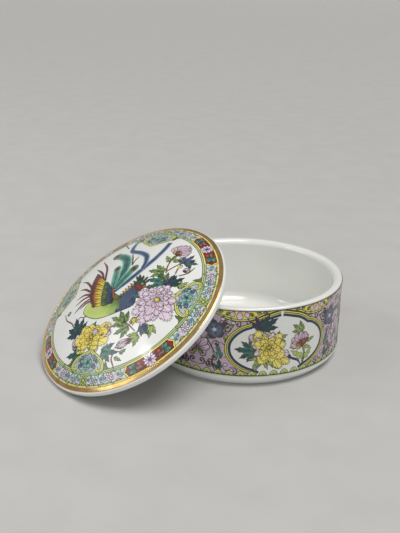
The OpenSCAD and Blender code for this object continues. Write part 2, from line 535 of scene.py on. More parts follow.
class Brush:
    """Draws on a canvas in its own mm, at its own place and layer of paint; its side is -1 if mirrored."""

    def __init__(self, canvas, place=lambda x, y: (x, y), layer=0, side=1):
        self.canvas, self.place, self.layer, self.side = canvas, place, layer, side

    def at(self, x, y, turn=0, up=0, flip=False):
        """A brush at another place, turned in degrees; flip mirrors it left to right."""
        along, across = cos(radians(turn)), sin(radians(turn))
        side = -1 if flip else 1

        def place(u, v):
            return self.place(x + side * u * along - v * across, y + side * u * across + v * along)

        return Brush(self.canvas, place, self.layer + up, self.side * side)

    def above(self, up):
        return self.at(0, 0, up=up)

    def halves(self):
        """This brush and its mirror image."""
        return self, self.at(0, 0, flip=True)

    def ring(self, radius, angle, up):
        """A brush bent round the canvas's middle: x runs clockwise, y outward from the radius."""
        def place(u, v):
            turn = radians(angle) - u / radius
            return self.place((radius + v) * cos(turn), (radius + v) * sin(turn))

        return Brush(self.canvas, place, self.layer + up, self.side)

    def height(self, up):
        return (self.layer + up) * LAYER

    def fill(self, colour, outline, tint=0.5, up=0, ribs=(), fine=1):
        """A patch; tint is a number or a function of the brush's own x and y, ribs are points inside."""
        points, triangles = triangulate(outline, self.canvas.cell / fine, ribs)
        tints = [tint(x, y) if callable(tint) else tint for x, y in points]
        self.canvas.add(colour, [self.place(x, y) for x, y in points], triangles, self.height(up), tints)

    def line(self, colour, path, width=INK_W, tint=0.85, up=0, taper=(1, 1), closed=False, shift=0):
        """A stroke along a path; taper is its width at each end, shift moves it to the brush's left."""
        spots = [self.place(x, y) for x, y in path]
        if closed:
            spots.append(spots[0])
        count = len(spots)
        lanes = ceil(width / LANE_W)
        points = []
        for i, (x, y) in enumerate(spots):
            before = spots[-2] if closed and i == 0 else spots[max(i - 1, 0)]
            after = spots[1] if closed and i == count - 1 else spots[min(i + 1, count - 1)]
            run = dist(before, after) or 1
            left = ((before[1] - after[1]) / run, (after[0] - before[0]) / run)
            t = i / (count - 1)
            swell = taper[0] + (1 - taper[0]) * min(1, 4 * t)
            swell = min(swell, taper[1] + (1 - taper[1]) * min(1, 2.5 * (1 - t)))
            for lane in range(lanes + 1):
                reach = self.side * shift + (lane / lanes - 0.5) * width * swell
                points.append((x + left[0] * reach, y + left[1] * reach))
        triangles = []
        for i in range(len(points) - lanes - 2):
            if i % (lanes + 1) < lanes:
                j = i + lanes + 1
                triangles += [(i, j, j + 1), (i, j + 1, i + 1)]
        self.canvas.add(colour, points, triangles, self.height(up), [tint] * len(points))

    def shape(self, colour, outline, tint=0.5, up=0, edge=INK_W, edge_tint=0.85, ribs=()):
        """A patch with an ink outline."""
        self.fill(colour, outline, tint, up, ribs)
        self.line("ink", outline, edge, edge_tint, up + 0.5, closed=True)


def graded(low, high, length):
    """A tint that changes from low at the brush to high at a distance up its y axis."""
    return lambda x, y: low + (high - low) * min(max(y / length, 0), 1)


def scatter(draw, brush, rows, up=0, **style):
    """Draws a figure at each row's x, y and turn; the row's rest and the style are the figure's own."""
    for x, y, turn, *own in rows:
        draw(brush.at(x, y, turn, up=up), *own, **style)


def walk(path, spacing, start=0):
    """Places along a path, each as x, y and heading in degrees."""
    spots, due, gone = [], start, 0
    for (x1, y1), (x2, y2) in zip(path, path[1:]):
        run = dist((x1, y1), (x2, y2))
        heading = degrees(atan2(y2 - y1, x2 - x1))
        while run and due <= gone + run:
            t = (due - gone) / run
            spots.append((x1 + (x2 - x1) * t, y1 + (y2 - y1) * t, heading))
            due += spacing
        gone += run
    return spots


# ---------------- flowers and leaves

def petal(brush, colour, length, width, root=0.9, tip=0.1, ruffle=0.1, strokes=2, edge=0.22, up=0):
    """A petal growing along y; ruffle is the depth of the notches in its tip."""
    half = [(0, 0), (width * 0.3, length * 0.25), (width * 0.49, length * 0.58)]
    for x, y in ((0.44, 0.78), (0.3, 0.9), (0.13, 0.97)):
        half += [(width * (x + 0.05), length * y), (width * (x - 0.03), length * (y - ruffle))]
    outline = mirrored(spline(half + [(0, length)], step=max(0.5, length / 9)))
    brush.shape(colour, outline, graded(root, tip, length), up, edge, 0.78)
    for k in range(strokes):
        lean = width * ((k + 0.5) / strokes - 0.5)
        stroke = [(lean * x, length * y) for x, y in ((0.95, 0.84), (0.62, 0.5), (0.3, 0.22))]
        brush.line("ink", spline(stroke, step=1.2), 0.18, 0.65, up + 0.5, (1, 0.2))


def blade(brush, colour, length, width, root, tip, up=0, edge=0.28):
    """A plain pointed petal or feather growing along y."""
    half = [(0, 0), (width * 0.45, length * 0.35), (width * 0.5, length * 0.72), (0, length)]
    outline = mirrored(spline(half, step=max(0.6, length / 7)))
    brush.shape(colour, outline, graded(root, tip, length), up, edge)


def peony(brush, radius, colour, heart, rows, turn, reach, root, tip):
    """A full flower of ruffled petals: each row's count, size and breadth, widest row first.

    heart is the colour and tint of its middle, and reach stretches the petals that point at an angle.
    """
    for row, (count, size, breadth) in enumerate(rows):
        depth = 0.05 * row
        for i in range(count):
            angle = 360 * (i + 0.5 * (row % 2)) / count + turn + 6 * sin(3.1 * i + row)
            length = radius * size * (1 + 0.14 * sin(2.4 * i + 1.7 * row)) * reach(angle)
            spray = brush.at(0, 0, angle - 90, up=2 * row + i % 2)
            petal(spray, colour, length, length * breadth, root + depth, tip + depth, 0.08)
    core = brush.above(2 * len(rows))
    core.shape(heart[0], oval(radius * 0.26, radius * 0.22, steps=10), heart[1])
    for i in range(7):
        core.at(0, 0, 360 * i / 7).line("ink", [(0, radius * 0.04), (0, radius * 0.2)], 0.22, 0.8, 0.8)


FULL_PEONY = ((12, 1, 0.45), (11, 0.81, 0.45), (9, 0.61, 0.5), (7, 0.4, 0.56))
SMALL_PEONY = ((9, 1, 0.56), (8, 0.76, 0.58), (6, 0.52, 0.62), (4, 0.3, 0.7))


def leaf(brush, length, width, light, dark, colour="green", teeth=2, veins=True):
    """A toothed leaf growing along y, dark along its middle vein and lighter towards its edge."""
    half, side_veins = [(0, 0)], []
    for i in range(teeth):
        at = (i + 1) / (teeth + 1)
        out = width * sin(pi * at ** 0.7)
        half += [(out * x, length * (at + y)) for x, y in ((0.41, -0.16), (0.5, 0.03), (0.31, 0.02))]
        for x in (-0.36, 0.36):
            side_veins.append([(0, length * (at - 0.18)), (out * x, length * (at - 0.02))])
    half.append((0, length))
    ribs = [(0, length * k / 4) for k in (1, 2, 3)]

    def shade(x, y):
        return dark + (light - dark) * min(1, abs(x) / width * 3.2)

    brush.shape(colour, mirrored(half), shade, 0, 0.3, 0.9, ribs)
    if veins:
        brush.line("ink", [(0, 0), (0, length * 0.9)], 0.3, 0.95, 0.6, (1, 0.3))
        for vein in side_veins:
            brush.line("ink", vein, 0.22, 0.9, 0.6, (1, 0.4))


def palm_leaf(brush, length, colour, light, dark, sides):
    """A peony's leaf of pointed lobes: one straight on, the others at the sides' angles."""
    for i, angle in enumerate((*reversed(sides), 0)):
        size = length * (1 - 0.0046 * abs(angle))
        up = (len(sides) + 1 - i) % 2 + i // 2
        leaf(brush.at(0, 0, angle, up=up), size, size * 0.5, light, dark, colour, 3)


def stem(brush, path, width, colour="ink", tint=0.2, up=1):
    """A stroke of a colour over a wider ink one, thinner towards its end."""
    curve = spline(path, step=0.8)
    brush.line("ink", curve, width + 0.35, 0.9, up, (1, 0.6))
    brush.line(colour, curve, width, tint, up + 0.5, (1, 0.6))


def bud(brush, length, colour, calyx, root=0.8, tip=0.1, wide=1):
    """A closed flower along y in its sepals; wide spreads its petals."""
    for i, angle in enumerate((34, -34, 17, -17, 0)):
        fresh = length * (1 - abs(angle) / 160)
        spray = brush.at(0, 0, angle * wide, up=i % 3)
        petal(spray, colour, fresh, length * 0.42 * wide, root, tip, strokes=1)
    for angle in (62, -62, 24, -24):
        sepal = brush.at(0, -0.2, angle * wide, up=3)
        leaf(sepal, length * 0.5, length * 0.2 * wide, 0.3, 0.8, calyx, 1, False)


def daisy(brush, radius, count, colour, root, tip, heart="blue", heart_tint=0.9, breadth=0.42):
    """A flower of plain petals round a heart."""
    for i in range(count):
        blade(brush.at(0, 0, 360 * i / count), colour, radius, radius * breadth, root, tip, i % 2, 0.24)
    brush.shape(heart, oval(radius * 0.5, radius * 0.5, steps=10), heart_tint, 2, 0.24)


def curl(brush, radius, colour="ink", tint=0.8, width=0.45, turns=1.25, tail=2):
    """A tendril that comes in along x and winds up to its left."""
    path = [(-tail, -0.12 * tail)]
    for i in range(13):
        t = i / 12
        turn = TAU * turns * t - pi / 2
        shrink = radius * (1 - 0.82 * t)
        path.append((shrink * cos(turn), radius + shrink * sin(turn)))
    brush.line(colour, spline(path, step=0.5), width, tint, taper=(0.4, 1))
    brush.fill(colour, oval(width * 2.1, width * 2.1, *path[-1], steps=8), tint)


# ---------------- the lid's border

def cartouche(brush):
    """An iron-red panel of the border with a flower and leaves."""
    half = [(0, 2.9), (12.1, 2.9), (12.5, 1.6), (13.9, 0), (12.5, -1.6), (12.1, -2.9), (0, -2.9)]
    outline = []
    for start, end in zip(half, half[1:]):
        outline += straight(start, end, max(1, round(dist(start, end) / 1.5)))[:-1]
    outline = mirrored(outline + [half[-1]])
    brush.fill("red", outline, lambda x, y: 0.84 + 0.12 * sin(1.3 * x) * cos(y), 1)
    brush.line("ink", outline, 1.15, 0.9, 1.3, closed=True)
    brush.line("gold", outline, 0.6, 0.35, 1.8, closed=True)
    daisy(brush.at(0, 0, 10, up=3), 3.4, 12, "rose", 0.7, 0, breadth=0.4)
    for leafy in brush.above(3).halves():
        for i, (angle, length) in enumerate(((-40, 2.9), (-150, 2.8), (-66, 3.9), (-118, 3.8))):
            blade(leafy.at(7.6, 0.1, angle), "teal", length, 1.7, 0.95, 0.5, i)
        leafy.line("teal", spline([(7.6, 0), (6.4, 0.9), (5.6, 0.3), (4.6, 1.2)], step=0.3), 0.5, 0.6)
        leafy.shape("red", oval(1.9, 1.5, 5.6, -1.1, 9), 0, 0, 0.3)


def border_flowers(brush):
    """The scrollwork between two red panels, the same on both sides of a rosette."""
    for half in brush.halves():
        for i in range(9):
            x = 1.6 + 2.45 * i
            scatter(curl, half, (
                (x, -0.3, 75 + 20 * (i % 3), 0.85, "green", 0.95, 0.27, 1.1, 1.2),
                (x + 1.1, 0.5, -105 - 20 * (i % 2), 0.85, "blue", 0.7, 0.27, 1.1, 1.2),
                (x + 0.6, -2.4, 20 * (i % 4), 0.5, "green", 0.9, 0.24, 1, 1),
                (x + 0.2, 2.4, 200 + 20 * (i % 3), 0.5, "ink", 0.5, 0.24, 1, 1),
            ), up=1)
        vine = [(2.4, -1.6), (4.6, -2.3), (8.4, -1.9), (10.4, 0.4), (12.6, 2.2), (16, 1.9), (18.4, -0.6),
                (21.8, -1.7)]
        half.line("teal", spline(vine), 0.5, 0.6, 2, (0.5, 0.5))
        daisy(half.at(6.6, 0.6, 20, up=3), 2.1, 6, "blue", 0.45, 0, "green", 0.3)
        daisy(half.at(15.4, -0.5, up=3), 2.2, 7, "rose", 0.4, 0, "rose", 0.6)
        scatter(curl, half, (
            (11.2, 1.2, 200, 1.25, "blue", 0.7, 0.45), (19.5, 1, 150, 1.35, "rose", 0.45, 0.7),
            (21.4, -0.8, -30, 1.15, "teal", 0.6, 0.5),
        ), up=2)
        scatter(blade, half, (
            (4.2, 1.8, 60), (9.5, 1.9, -40), (9.4, -2.2, 200), (18, 2.1, 30), (18.2, -2.3, 160),
            (3.8, -1.2, -80), (12.6, -1.6, 70), (12.4, 2.3, 120), (21.5, 2, 100),
        ), up=3, colour="green", length=1.9, width=1, root=0.75, tip=0.2, edge=0.24)
        for x, y in ((8.7, 0.6), (13.2, 0.9), (17.7, 0.6), (21.4, 0.5)):
            half.shape("rose", oval(1, 1, x, y, 8), 0.3, 3, 0.2)
    daisy(brush.at(0, 0.1, 12, up=4), 2.6, 8, "green", 0.9, 0.1, "gold", 0.3, 0.5)


def lappet(brush):
    """A cloud-collar point that reaches from the border into the field; y is towards the middle."""
    top = spline([(9.3, 3), (8, 5.2), (4.6, 7.2), (1.8, 8.4), (0, 9.7)], step=1)
    foot = [(x, x * x / 88) for x in (-9.3, -6, -3, 0, 3, 6, 9.3)]
    body = [(-x, y) for x, y in top] + top[-2::-1] + foot[::-1]
    brush.fill("blue", body, lambda x, y: 0.2 + 0.025 * y, 1)
    hook = spline([
        (6.3, 2.5), (6.6, 1.2), (8.2, 0.5), (9.7, 1.5), (9.5, 3.2), (8, 5.3), (4.6, 7.3), (1.8, 8.5),
        (0, 9.9),
    ], step=0.8)
    for half in brush.halves():
        half.line("ink", hook, 2.1, 0.9, 1.5, (0.7, 1))
        for colour, width, tint, up in (
            ("green", 1.45, 0.12, 2), ("gold", 0.8, 0.35, 2.4), ("green", 0.35, 0.75, 2.8),
        ):
            half.line(colour, hook, width, tint, up, (0.6, 1))
        for x, y, turn, radius, colour, tint, width, up in (
            (4.6, 1, 25, 1.6, "blue", 0.8, 0.7, 3), (2.2, 6.4, -50, 1.1, "blue", 0.65, 0.6, 3),
            (1.6, 3, 200, 1, "teal", 0.5, 0.5, 2.5), (4.2, 3.4, 100, 1.1, "teal", 0.6, 0.5, 2.5),
            (2.6, 0.8, 170, 0.8, "teal", 0.4, 0.45, 2.5), (5.4, 5.3, 190, 0.9, "teal", 0.9, 0.5, 3),
        ):
            curl(half.at(x, y, turn, up=up), radius, colour, tint, width)
        blade(half.at(3.1, 4.9, -48, up=3), "teal", 2.8, 1.6, 0.9, 0.4)
        blade(half.at(3, 2, -70, up=3), "teal", 2.8, 1.6, 0.7, 0.1)
        half.shape("green", [(10.5, 1.3), (14.2, 2.5), (12.2, 3.2), (11.6, 4.6), (10.6, 5.6)], 0.75, 1, 0.35)
        for k in range(4):
            crease = [(10.9 + 0.75 * k, 1.6 + 0.25 * k), (11 + 0.6 * k, 4.6 - 0.7 * k)]
            half.line("ink", crease, 0.28, 0.9, 1.8)
        half.shape("rose", oval(1.3, 1.3, 5.4, 3.6, 9), 0.4, 4, 0.25)
    daisy(brush.at(0, 4, up=4), 2.7, 5, "teal", 0.8, 0.1, "blue", 0.9, 0.85)
    daisy(brush.at(0, 1.4, 36, up=3), 1.6, 5, "blue", 0.6, 0.1, "gold", 0.4, 0.7)


def paint_border(brush):
    """Everything between the gilt line and the white field, four times round."""
    for radius, width, colour, tint in (
        (50.35, 0.6, "gold", 0.4), (49.95, 0.26, "ink", 0.8), (45.15, 0.26, "ink", 0.8),
        (44.75, 0.55, "green", 0.25), (44.35, 0.26, "ink", 0.8), (43.75, 0.45, "green", 0.35),
        (43.4, 0.28, "ink", 0.8),
    ):
        brush.line(colour, oval(2 * radius, 2 * radius, steps=180), width, tint, 3, closed=True)
    for angle in range(0, 360, 90):
        cartouche(brush.ring(BORDER_MIDDLE, PANEL_ANGLE + angle, 3))
        middle = PANEL_ANGLE + 45 + angle
        border_flowers(brush.ring(BORDER_MIDDLE, middle, 3))
        turn = radians(middle)
        lappet(brush.at(BORDER_EDGE * cos(turn), BORDER_EDGE * sin(turn), middle + 90, up=4))


# ---------------- the lid's phoenix

def plume(brush, path, width, colour, tint, eye):
    """A long soft tail feather, with an eye of a colour at its end, or none."""
    curve = spline(path, step=0.8)
    for breadth, tone, up in ((1.5, 0.05, 0), (1.2, 0.3, 0.5), (0.9, tint, 1)):
        brush.line(colour, curve, width * breadth, tone, up, (0.5, 0.8))
    for x, y, heading in walk(curve, 0.7, 1)[:-1]:
        for side in (-0.58, 0.58):
            barb = [(-0.3, 0), (0.9, side * width)]
            brush.at(x, y, heading).line(colour, barb, 0.3, min(1, tint + 0.05), 1.2, (1, 0.3))
    brush.line(colour, curve, 0.45, min(1.15, tint + 0.35), 1.6, (1, 0.4))
    if eye:
        (x1, y1), (x2, y2) = path[-2:]
        spot = brush.at(x2, y2, degrees(atan2(y2 - y1, x2 - x1)))
        spot.fill(colour, oval(width * 1.7, width * 1.4), tint - 0.1, 1.8)
        spot.fill(eye, oval(width * 1.2, width * 0.9), 0.45, 2.3)
        spot.fill("ink", oval(width * 0.6, width * 0.45), 0.9, 2.9)


def spread(path, count):
    """Places evenly spaced along a smooth path, its ends included."""
    curve = spline(path)
    length = sum(dist(a, b) for a, b in zip(curve, curve[1:]))
    return [spot[:2] for spot in walk(curve, 0.9999 * length / (count - 1))]


def feather_row(brush, count, inner, outer, breadth, colour, root, tip):
    """A row of feathers that reach from one path to another."""
    for i, (start, end) in enumerate(zip(spread(inner, count), spread(outer, count))):
        length = dist(start, end)
        heading = degrees(atan2(end[1] - start[1], end[0] - start[0]))
        quill = brush.at(*start, heading - 90, 0.9 * (i % 3))
        blade(quill, colour, length, breadth, root, tip)
        quill.line("ink", [(0, length * 0.1), (0, length * 0.9)], 0.2, 0.8, 0.5, (1, 0.3))


def scales(brush, outline, path, rows, colour, tint, up, gap=1.1):
    """Small arcs in staggered rows along a path, kept inside an outline."""
    cup = [(0.5 * cos(turn) - 0.3, 0.46 * sin(turn)) for turn in (-1.5, -0.8, 0, 0.8, 1.5)]
    for i, (x, y, heading) in enumerate(walk(path, 0.95, 0.3)):
        turn = radians(heading)
        for k in range(rows):
            side = (k - (rows - 1) / 2 + 0.5 * (i % 2)) * gap
            place = (x - side * sin(turn), y + side * cos(turn))
            if inside(outline, *place):
                brush.at(*place, heading).line(colour, cup, 0.2, tint, up, (0.5, 0.5))


def edged(brush, path, width, tint, inner, taper):
    """A red stroke inside a wider ink one."""
    brush.line("ink", spline(path), width, tint, 2, taper)
    brush.line("red", spline(path), inner, 0.9, 2.5, taper)


def paint_tail(brush):
    """The long feathers, and the red streamers behind the wing."""
    for path, width, colour, tint, eye, up in (
        ([(-1, -2.5), (0.3, 5), (0.6, 11), (0.3, 18), (-0.7, 25), (-3.2, 32), (-6.4, 37.4)],
         2.7, "blue", 0.8, None, 1),
        ([(0.2, 15.5), (-3, 20.4), (-8, 23.6), (-15, 23.4), (-22, 22), (-26.5, 25), (-29, 28.6)],
         2.6, "blue", 0.8, "green", 2),
        ([(-2.5, -1), (-5.6, 4), (-9, 9.4), (-12.6, 13.4), (-18, 16.2), (-23.6, 16.4), (-29, 15.2)],
         4, "teal", 0.8, "ink", 1),
        ([(-2, 0), (-3.6, 6.4), (-4.9, 13.8)], 3.6, "teal", 0.72, "ink", 2),
        ([(-4, -0.8), (-9.4, 4.2), (-15.6, 8.8)], 3.3, "teal", 0.6, "ink", 2),
    ):
        plume(brush.above(up), path, width, colour, tint, eye)
    for path in (
        [(-19, 20.7), (-13.6, 18), (-8.6, 14.8)], [(-11.9, 21), (-10.6, 17.6), (-8.8, 14.9)],
        [(-44, 28), (-37, 24.4), (-29, 22.6)],
    ):
        edged(brush, path, 0.75, 0.75, 0.45, (0.4, 1))
    for path in (
        [(-15, 0), (-20, 3.4), (-26.5, 6.9), (-37.3, 9)], [(-16, -0.6), (-24, 2.6), (-34.8, 3.1)],
        [(-19, -7.2), (-29, -5.8), (-35.7, -7)], [(-18, -9), (-24.6, -9.4), (-29.8, -11.2)],
        [(-15, -10), (-20.8, -12.2), (-24, -16.9)], [(-14, -10), (-18.2, -14), (-20.3, -19.4)],
        [(-12.5, -11), (-15.2, -16), (-15.8, -22.8)], [(-10.5, -12), (-13, -15), (-14, -19.5)],
    ):
        edged(brush, path, 1.35, 0.8, 0.95, (0.9, 0.15))


def paint_wing(brush):
    """The raised wing, its rows of feathers from the tip inwards."""
    for up, count, inner, outer, breadth, colour, root, tip in (
        (4, 17, [(-15, -1.2), (-10, -6), (-3, -11.4)],
         [(-29, 1), (-24.5, -4.4), (-19.4, -8.6), (-13.5, -12), (-6.4, -14.6)], 1.9, "red", 0.5, 1.1),
        (7, 17, [(-12.5, -0.6), (-7, -5.5), (-0.6, -10.6)],
         [(-23.6, -0.6), (-18.4, -5.8), (-12.6, -10.4), (-5.4, -13.6)], 1.55, "gold", 0.3, 1.15),
        (10, 12, [(-6, -1.2), (-1.5, -4.4), (3.4, -7.8)],
         [(-14.2, -0.4), (-8, -5.8), (-1, -11)], 1.6, "green", 1.1, 0.8),
        (13, 9, [(1, -3), (3, -4.4), (5, -6.8)],
         [(-9.4, -0.9), (-4.6, -3.8), (0.4, -7.6)], 1.7, "blue", 1.1, 0.85),
    ):
        feather_row(brush.above(up), count, inner, outer, breadth, colour, root, tip)
    saddle = spline([(-4.6, -0.2), (-1.4, -2), (2, -4), (5, -4.2), (6.6, -2.6)])
    brush.line("ink", saddle, 1.1, 0.9, 16, (0.4, 0.6))
    brush.line("gold", saddle, 0.6, 1.15, 16.5, (0.4, 0.6))


def paint_body(brush):
    """The bird's body: lime under the belly, green up its side."""
    outline = spline([
        (-10.8, -16.2), (-9.6, -18.7), (-6.6, -19.9), (-0.7, -19.2), (4.3, -17.2), (8.5, -13.4),
        (12.4, -8.6), (15.2, -4.6), (16.2, -1), (14, 1), (9, -0.6), (4.2, -2), (-1, -2.6), (-5, -5.4),
        (-7.4, -9), (-10.4, -13.2),
    ], closed=True, step=1)

    def shade(x, y):
        return 0.02 + 0.85 * min(1, max(0, (y + 0.25 * x + 12.6) / 10))

    brush.fill("green", outline, shade, fine=2)
    brush.line("green", outline, 0.4, 0.95, 0.5, closed=True)
    scales(brush, outline, [(-7, -16.4), (1, -13.6), (7, -9), (10.6, -5.4)], 5, "green", 0.5, 1)
    scales(brush, outline, [(0, -11), (4, -8.4), (8, -5.2), (11, -2.4)], 3, "green", 1, 1)


def paint_neck(brush):
    """The navy chest and neck with their scales, and the hackles behind."""
    chest = spline([
        (11.4, -9.4), (14.2, -6.4), (16.5, -3), (16.9, -0.2), (15.8, 1.2), (13.4, 0.6), (13.6, -2.4),
        (12.6, -5.6), (10.4, -8),
    ], closed=True, step=1)
    brush.fill("blue", chest, 1, fine=2)
    scales(brush, chest, [(15, 0.8), (15, -3), (11.4, -8.6)], 5, "blue", 0.6, 1, 0.9)
    for i, y in enumerate((9.9, 8.1, 6.3, 4.6, 2.9, 1.2, -0.5)):
        hackle = mirrored(spline([(0, 0), (0.8, 0.8), (0.36, 2), (0, 3.6 - 0.12 * i)], step=0.7))
        colour = "gold" if i > 1 else "green"
        brush.at(7.2, y, 84 + 3 * i).shape(colour, hackle, 0.9, 0.6 + 0.4 * (i % 2), 0.3, 1)
    neck = [(7.2, 7.4), (6.9, 3), (6.3, -0.5), (6.5, -2.4), (9, -4.2), (11.4, -6.4), (13.2, -5), (13.6, -1),
            (12.9, 2), (12.7, 5), (12.3, 6.8)]
    whole = spline(neck, closed=True, step=1)
    brush.fill("blue", whole, lambda x, y: 1.12 - 0.03 * (x - 7), 2)
    for side in (neck[:4], neck[7:]):
        brush.line("ink", spline(side, step=1), 0.34, 0.9, 2.5)
    scales(brush, whole, [(10, 6.8), (9.8, 2), (9.7, -2.4), (9.6, -7)], 7, "blue", 0.55, 3, 0.95)


def paint_head(brush):
    """The green cap and crest, red cheek, gold beak and white eye."""
    cap = [(6.4, 7.6), (6.8, 10), (8.6, 11.4), (11, 11.1), (12.8, 9.8), (12.2, 8), (9, 7)]
    brush.shape("green", spline(cap, closed=True, step=0.8), 1.15, 3)
    cheek = [(7.8, 6.8), (9.2, 8.2), (11.6, 8.4), (12.9, 7.2), (12.4, 5.8), (9.8, 5.6)]
    brush.shape("red", spline(cheek, closed=True), lambda x, y: 0.5 + 0.15 * (9 - y), 4)
    beak = [(12, 9.8), (15, 9.9), (13.3, 9), (13.2, 7.8), (12.2, 8.4)]
    brush.shape("gold", beak, 1.1, 4, 0.28)
    brush.fill("white", oval(1, 0.9, 10.4, 9.7, 9), 0.5, 4.4)
    brush.fill("ink", oval(0.5, 0.5, 10.5, 9.7, 8), 1, 5)
    for x, y, turn, length in (
        (7, 10, 76, 4.4), (7.4, 10.6, 62, 4.8), (8.4, 10.8, 42, 3.8), (9.6, 11, 14, 3.4),
        (10.8, 10.8, -16, 2.8),
    ):
        blade(brush.at(x, y, turn, up=3.5), "green", length, 1, 1.1, 1.2)


def paint_phoenix(brush):
    paint_tail(brush)
    paint_body(brush.above(3))
    paint_wing(brush)
    paint_neck(brush.above(16))
    paint_head(brush.above(16))
    brush.line("ink", spline([(-4, -19.5), (-6.4, -21.4), (-8.8, -21.9)]), 0.5, 0.7, 4, (1, 0.3))


# ---------------- the lid's flowers

def paint_main_peony(brush):
    """The large lilac peony by the phoenix, its leaves and the sprays around it."""
    scatter(palm_leaf, brush, (
        (13, 21.4, 118, 9.2, "green", 0.5, 0.95), (21.4, 16, 14, 8, "blue", 0.9, 1),
        (19.6, 17.2, 112, 10.4, "teal", 0.6, 0.95), (19.2, 17.6, 72, 7.4, "green", 0.7, 1),
        (22.6, 17.6, -18, 8, "teal", 0.9, 1.05), (27.4, 19, -12, 5.5, "green", 0.3, 0.7),
    ), up=1, sides=(36, -34))
    peony(brush.at(25.2, 7.8, up=5), 12, "rose", ("gold", 0.5), FULL_PEONY, 12,
          lambda angle: 0.97 + 0.2 * cos(radians(angle + 70)), 0.5, 0.14)
    for x, y, turn, length in ((16.6, 3.2, 78, 4.2), (15.6, 1.2, 96, 3), (16.4, 9.8, 60, 3)):
        blade(brush.at(x, y, turn, up=4), "teal", length, 2.4, 1, 0.7)
    for path in ([(19.3, -10.2), (24, -9.9), (29.4, -10.2)], [(28.6, -6), (30.4, -9.4), (31, -13.6)],
                 [(24.5, -3), (24.2, -9.9)]):
        stem(brush, path, 0.4)
    scatter(palm_leaf, brush, (
        (21.2, -10, 70, 7.8, "green", 0.6, 0.95), (20.6, -10.4, 104, 8.8, "green", 0.35, 0.9),
        (24.4, -10.6, 152, 8.4, "green", 0.5, 1), (29.8, -6.4, -96, 6.8, "blue", 0.75, 0.95),
        (33.4, -3.4, -140, 6.6, "green", 0.15, 0.5), (32, -10.6, 164, 7.4, "green", 0.3, 0.7),
        (23.4, -5.4, -146, 4.6, "gold", 0.3, 0.6),
    ), up=1, sides=(36, -36))
    bud(brush.at(30.8, -13.8, 152, up=3), 9.6, "rose", "red", 0.6, 0, 0.4)


def paint_yellow_peony(brush):
    """The yellow peony at the foot of the field, with its leaves and stems."""
    for path in (
        [(-0.7, -29.6), (-6, -28.2), (-11.5, -27.1), (-18, -27.6), (-23.6, -25.8)],
        [(-6.6, -28), (-8.4, -24.4), (-8.6, -21.8)], [(10, -35), (8.6, -39), (7.2, -42)],
        [(20, -27), (25, -24.6), (31, -21.4)], [(27.6, -24.4), (28.6, -27), (32.6, -29)],
    ):
        stem(brush, path, 0.45, tint=0.35)
    scatter(palm_leaf, brush, (
        (-0.8, -29.4, 60, 11.4, "teal", 0.95, 1.05, (36, -32, 66, -60)),
        (10.2, -34.6, 126, 10.4, "teal", 0.75, 1, (34, -34)),
        (21, -27.4, -62, 9.4, "teal", 0.6, 0.95, (36, -36)),
    ), up=2)
    scatter(leaf, brush, (
        (30.6, -22.6, -20, 4, 2.2, 0.4, 0.8), (29.4, -25.6, -74, 4.6, 2, 0.4, 0.8),
        (6.6, -24.6, 16, 6.6, 4, 0.7, 0.95),
    ), up=2)
    bud(brush.at(-20, -25.2, 20, up=1), 2.6, "white", "ink", 0.4, 0.6)
    for angle, length in ((-112, 7.4), (-134, 6.6), (-156, 5.4)):
        petal(brush.at(11.6, -26.2, angle, up=1), "green", length, 3.6, 0.4, 0.05)
    for i, angle in enumerate((118, 190, 142, 166)):
        petal(brush.at(4.2, -30.4, angle, up=2), "rose", 6, 3.4, 0, 0.15, up=i // 2)
    for angle in (-44, -16, 10):
        petal(brush.at(14.2, -22.2, angle, up=5), "rose", 6.4, 3.2, 0.2, 0.5)
    peony(brush.at(9.4, -25.6, up=4), 9.5, "gold", ("gold", 0.7), SMALL_PEONY, 20,
          lambda angle: 1 + 0.3 * cos(radians(2 * (angle - 37))), 0.6, 0.3)
    petal(brush.at(9.6, -24.4, 8, up=11), "rose", 3.4, 3, 0.6, 0.2)


def paint_upper_flowers(brush):
    """The small flowers above the large peony."""
    for path in ([(14.6, 21.4), (11, 25), (8.6, 29), (7.2, 33)], [(13.9, 22), (14.4, 27), (15.4, 32)],
                 [(19, 24), (16.6, 27.6), (15.2, 30.4)], [(21.6, 24), (23.6, 28), (23, 32.6)]):
        stem(brush, path, 0.45, tint=0.35)
    leaf_rows = ((9.4, 27.6, 74, 6.4), (9.2, 28.6, 26, 5), (10.6, 28.4, -24, 6.6))
    scatter(leaf, brush, leaf_rows, up=1, width=3.2, light=0.4, dark=0.85)
    palm_leaf(brush.at(16, 31, 8, up=2), 7.4, "blue", 0.6, 1, (44, -44, 84))
    palm_leaf(brush.at(17, 31.8, -56, up=1), 6.2, "teal", 0.7, 0.95, (42, -42))
    bud(brush.at(21.6, 27.4, 4, up=2), 3.6, "rose", "ink")
    petal(brush.at(17.4, 26.4, 14, up=2), "gold", 3.6, 1.8, 0.2, 0)
    for angle in (84, 58, -58, -84):
        leaf(brush.at(6.6, 33.4, angle, up=2), 5.8, 2.4, 0.5, 0.9)
    for i, angle in enumerate((64, -64, 42, -42, 20, -20, 0)):
        length = 8.4 - 0.02 * abs(angle)
        petal(brush.at(6.4, 33.4, angle, up=3), "rose", length, 4.6, 1, 0.1, up=i % 2 + i // 3)
    for i, angle in enumerate((62, 22, -22, -62, 0)):
        petal(brush.at(6.5, 32.6, angle, up=7), ("gold", "red")[i % 2], 3.6, 1.7, 1.1, 0.5)


# ---------------- the bowl's wall

